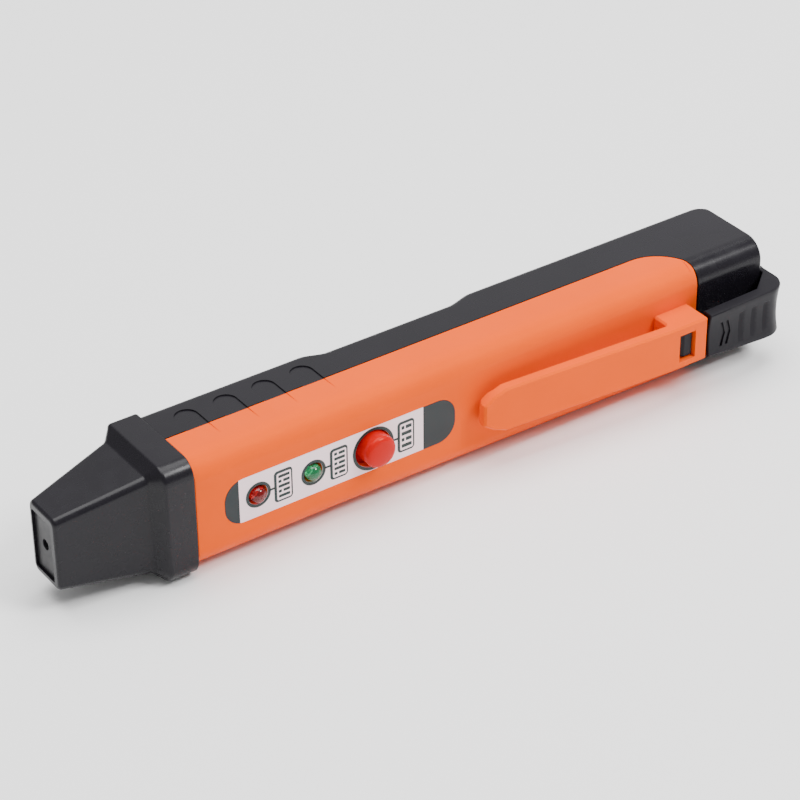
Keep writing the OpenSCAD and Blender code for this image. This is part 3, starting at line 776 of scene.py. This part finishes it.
def label():
    """The film, its two dark ends, and the printed rings, frames and links."""
    film = prism_y("label_film", label_outline(0.0, 14), (0.0, 0.3))
    holes = [(x, 1.88) for x in LAMP_X] + [(BUTTON_X, 3.6)]
    for x, r in holes:
        boolean(film, lathe("label_hole", x, MID_Z, [(r, -1), (r, 2)]))
    piece(film, "root", "label_film", ["label_plate"])

    for name, cut in (("label_end_nose", (LABEL_X[0] - 1, LABEL_SPLIT[0])),
                      ("label_end_tail", (LABEL_SPLIT[1], LABEL_X[1] + 1))):
        end = prism_y(name, label_outline(0.02, 14), (-INK, 0.28))
        keep = block("cut", cut, (-1, 1), (LABEL_Z[0] - 1, LABEL_Z[1] + 1))
        boolean(end, keep, "INTERSECT")
        piece(end, "root", "label_film", material=PRINT)

    for i, (x, r) in enumerate(holes):
        inner, outer = r + 0.01, r + (0.55, 0.55, 0.58)[i]
        profile = [(inner, 0.05), (inner, -INK), (outer, -INK), (outer, 0.05)]
        ring = lathe(f"label_ring_{i + 1}", x, MID_Z, profile, closed=True)
        piece(ring, "root", "label_film", material=PRINT_LINE)

    frames = ((15.0, 18.6), (26.05, 29.6), (39.75, 43.2))
    for i, (x0, x1) in enumerate(frames):
        outer = rounded_rect(x0, x1, 8.15, 14.3, [0.7] * 4)
        inner = rounded_rect(x0 + 0.52, x1 - 0.25, 8.45, 13.78, [0.35] * 4)
        loops = [[(a, y, b) for a, b in shape]
                 for shape, y in ((inner, 0.05), (inner, -INK), (outer, -INK), (outer, 0.05))]
        frame_line = loft(f"label_frame_{i + 1}", loops, closed=True)
        piece(frame_line, "root", "label_film", material=PRINT_LINE)
        link = rounded_rect(sum(holes[i]) + 0.3, x0 + 0.2, 11.0, 11.4, [0.05] * 4, 3)
        printed(f"label_link_{i + 1}", link)
        label_marks(i, x0 + 0.85, x1 - 0.55)


def label_marks(index, x0, x1):
    """Generic marks in place of words: a stack of bars in each frame, some of them split."""
    count = (5, 5, 4)[index]
    pitch = 4.9 / count
    for k in range(count):
        z = 8.72 + pitch * (k + 0.2)
        split = (k + index) % 2
        for j, (a, b) in enumerate(((0.0, 0.28), (0.42, 1.0)) if split else ((0.0, 1.0),)):
            shape = rounded_rect(x0 + a * (x1 - x0), x0 + b * (x1 - x0), z, z + pitch * 0.55,
                                 [0.12] * 4, 3)
            printed(f"label_mark_{index + 1}_{k + 1}_{j + 1}", shape)


# ---------------------------------------------------------------- lamps and button

def lamp(name, x, slot):
    """A 3 mm lamp: a domed lens on a collar."""
    base, height, r = 4.1, 5.3, 1.5
    top = base - height
    profile = [(0.001, base), (1.75, base), (1.9, base - 0.12), (1.9, base - 0.9), (1.78, base - 1.0),
               (r, base - 1.02)]
    profile += [(r * math.cos(math.radians(a)), top + r - r * math.sin(math.radians(a)))
                for a in range(0, 90, 9)] + [(0.001, top)]
    lens = lathe(f"{name}_skin", x, MID_Z, profile, 48)
    piece(lens, "root", slot, [name], angle=50)


def lamp_frames():
    """The posts and cups that show through the lenses."""
    cup = [(0.001, 3.6), (0.25, 3.6), (0.3, 1.6), (0.65, 1.25), (0.65, 0.7), (0.5, 0.7),
           (0.3, 1.05), (0.001, 1.05)]
    post = [(0.001, 3.6), (0.2, 3.6), (0.2, 0.85), (0.12, 0.75), (0.001, 0.75)]
    for i, x in enumerate(LAMP_X, 1):
        piece(lathe(f"lamp_cup_{i}", x - 0.35, MID_Z, cup, 24), "root", "tinned_metal")
        piece(lathe(f"lamp_post_{i}", x + 0.7, MID_Z, post, 16), "root", "tinned_metal")


def test_button():
    """The red cap, with the flange that holds it behind the front shell."""
    upper, lower = FLANGE_Y
    top, r, edge = -BUTTON_H, BUTTON_R, 0.95
    profile = [(0.001, lower), (4.5, lower), (4.6, upper + 0.7), (4.6, upper + 0.1), (4.5, upper),
               (r + 0.2, upper), (r, upper - 0.2), (r, 0.0)]
    profile += [(r - edge + edge * math.cos(math.radians(a)),
                 top + 0.14 + edge - edge * math.sin(math.radians(a))) for a in range(0, 86, 8)]
    profile += [(1.5, top + 0.08), (0.8, top + 0.02), (0.001, top)]
    cap = lathe("test_button_skin", BUTTON_X + BUTTON_SHIFT[0], MID_Z + BUTTON_SHIFT[1], profile, 96)
    piece(cap, "button", "button_red", ["test_button"], angle=60)


def button_spring():
    """The return spring under the cap's flange."""
    turns, steps, wire, r, gap = 3, 28, 0.15, 2.45, 0.25
    start, end = FLANGE_Y[1] + gap, SWITCH_TOP - gap
    loops = []
    for i in range(turns * steps + 1):
        a = 2 * math.pi * i / steps
        y = start + (end - start) * i / (turns * steps)
        loops.append([(BUTTON_X + (r + out) * math.cos(a), y + up,
                       MID_Z + (r + out) * math.sin(a)) for out, up in circle(wire, 8)])
    coil = loft("button_spring_skin", loops)
    piece(coil, "root", "spring_steel", ["button_spring"], angle=60)
    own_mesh(coil)


# ---------------------------------------------------------------- latch and door

def wall_depth(p, n):
    """How far the press wall reaches inwards from a point of its outside: to its straight inner
    face, to the slanted face of its thick corner, or to the inner face of its end."""
    slope = Vector((DOOR_X[0] - 0.35 - WALL_CORNER[0], -0.35 - WALL_CORNER[1])).normalized()
    across = Vector((slope.y, -slope.x))
    reach = [0.0]
    if n[1] < -1e-6:
        reach.append((WALL_CORNER[1] - p[1]) / -n[1])
    if n[0] > 1e-6:
        reach.append((p[0] - DOOR_X[0]) / n[0])
    out = (Vector(p) - Vector(WALL_CORNER)).dot(across)
    reach.append(out / Vector(n).dot(across))
    return max(reach)


def groove_cutter(x):
    """A groove that follows the dished wall: a step at its nose side, a slope back up towards the
    tail, a blunt upper end and a lower end that fades out."""
    low, high = 7.3, 13.6
    profile = ((-0.66, -0.9), (-0.62, 0.0), (-0.56, 0.3), (-0.3, 0.27), (0.2, 0.13), (0.62, -0.02),
               (0.72, -0.9))
    loops = []
    for t in (0.0, 0.08, 0.16, 0.24, 0.4, 0.55, 0.7, 0.85, 0.95, 0.985, 1.0):
        z = low + (high - low) * t
        face = -CLIP_H + WALL_DISH * (1 - ((z - 10.6) / 4.7) ** 2)
        fade = min(1.0, t / 0.3, (1 - t) / 0.03)
        depths = [dy * fade - 0.03 * (1 - fade) if dy > -0.5 else dy for _, dy in profile]
        loops.append([(x + dx, face + depth, z) for (dx, _), depth in zip(profile, depths)])
    return loft("groove", loops)


def door_latch():
    """The press wall: a swept section whose outside is dished, then its tongue and grooves."""
    cx, cy = DOOR_X[1] - DOOR_R, -CLIP_H + DOOR_R
    xs = list(np.linspace(WALL_X, WALL_CORNER[0], 14)) + [117.0, cx]
    stations = [((x, -CLIP_H), (0.0, -1.0)) for x in xs]
    for a in np.linspace(8, 90, 12):
        n = (math.sin(math.radians(a)), -math.cos(math.radians(a)))
        stations.append(((cx + DOOR_R * n[0], cy + DOOR_R * n[1]), n))
    stations += [((DOOR_X[1], y), (1.0, 0.0)) for y in (-1.2, -0.4, 0.0, 0.8, PIVOT_Y)]

    def ring(station, draw_in=0.0):
        (px, py), (nx, ny) = station
        thick = wall_depth((px, py), (nx, ny))
        x = max(px, WALL_X)
        z0 = float(np.interp(x, (WALL_X, WALL_X + 13.0), (6.6, 5.7))) + draw_in
        z1 = float(np.interp(x, (WALL_X, WALL_X + 13.0), (15.4, 15.65))) - draw_in
        r = 0.35
        points = [(-thick + 0.15 + draw_in, z0), (-r, z0), (-0.1, z0 + 0.1)]
        for t in np.linspace(0, 1, 13):
            z = z0 + r + (z1 - z0 - 2 * r) * t
            points.append((-draw_in - WALL_DISH * (1 - (2 * t - 1) ** 2), z))
        points += [(-0.1, z1 - 0.1), (-r, z1), (-thick + 0.15 + draw_in, z1),
                   (-thick + draw_in, z1 - 0.15), (-thick + draw_in, z0 + 0.15)]
        return [(px + nx * o, py + ny * o, z) for o, z in points]

    first = ring(stations[0], 0.15)
    loops = [first] + [ring(s) for s in stations]
    loops[1] = [(WALL_X + 0.15, p[1], p[2]) for p in loops[1]]
    wall = loft("door_latch_skin", loops)
    for x in GROOVE_X:
        boolean(wall, groove_cutter(x))
    stroke, rise, point, mid = 0.62, 2.45, 0.75, 10.4
    for x in (106.1, 107.4):
        mark = [(x, mid - rise), (x + stroke, mid - rise), (x + stroke + point, mid),
                (x + stroke, mid + rise), (x, mid + rise), (x + point, mid)]
        boolean(wall, prism_y("chevron", mark, (-7.0, -5.36)))
    tongue_plan = [(WALL_X + 2.0, -4.4), (99.8, -4.4), (99.8, -5.4), (98.1, -5.4), (97.2, -4.75),
                   (97.2, -4.4), (96.9, -4.2), (96.9, -3.1), (97.1, -2.9), (WALL_X + 2.0, -2.9)]
    tongue = prism_z("latch_tongue", tongue_plan, (8.6, 13.4))
    soften(tongue, 0.12, 2)
    boolean(wall, tongue, "UNION")
    r = 0.65
    knuckle = [(DOOR_X[0] + r + a, PIVOT_Y + b) for a, b in circle(r, 24)]
    boolean(wall, prism_z("knuckle", knuckle, (5.75, 15.6)), "UNION")
    return piece(wall, "latch", "black_shell", ["door_latch"], LATCH_BLACK)


def battery_door():
    """The door's end plate, plug and tray: the CAD shape with its edges rounded."""
    source = frame["nodes"]["battery_door"]
    obj = bpy.data.objects.new("battery_door_skin", source.data.copy())
    bpy.context.scene.collection.objects.link(obj)
    bm = bmesh.new()
    bm.from_mesh(obj.data)
    bmesh.ops.remove_doubles(bm, verts=bm.verts, dist=2e-6)
    bmesh.ops.dissolve_limit(bm, angle_limit=math.radians(1.0), verts=bm.verts, edges=bm.edges)
    bmesh.ops.recalc_face_normals(bm, faces=bm.faces)
    bm.to_mesh(obj.data)
    bm.free()
    soften(obj, 0.22, 2, 50)
    return piece(obj, "door", "black_shell", ["battery_door"])


# ---------------------------------------------------------------- the pen

rear_shell()
front_shell()
pocket_clip()
nose_cap()
tip_plate()
label()
lamp("led_red", LAMP_X[0], "red_lens")
lamp("led_green", LAMP_X[1], "green_lens")
lamp_frames()
test_button()
button_spring()
door_latch()
battery_door()

# The CAD nodes that show as they are keep their shape and get their material
for entry in frame["record"]["subparts"]:
    obj = frame["nodes"][entry["node"]]
    obj.data.materials.clear()
    obj.data.materials.append(MATERIALS[entry["material_slot"]])
    obj.data.polygons.foreach_set("use_smooth", [True] * len(obj.data.polygons))
    obj.data.set_sharp_from_angle(angle=math.radians(40))
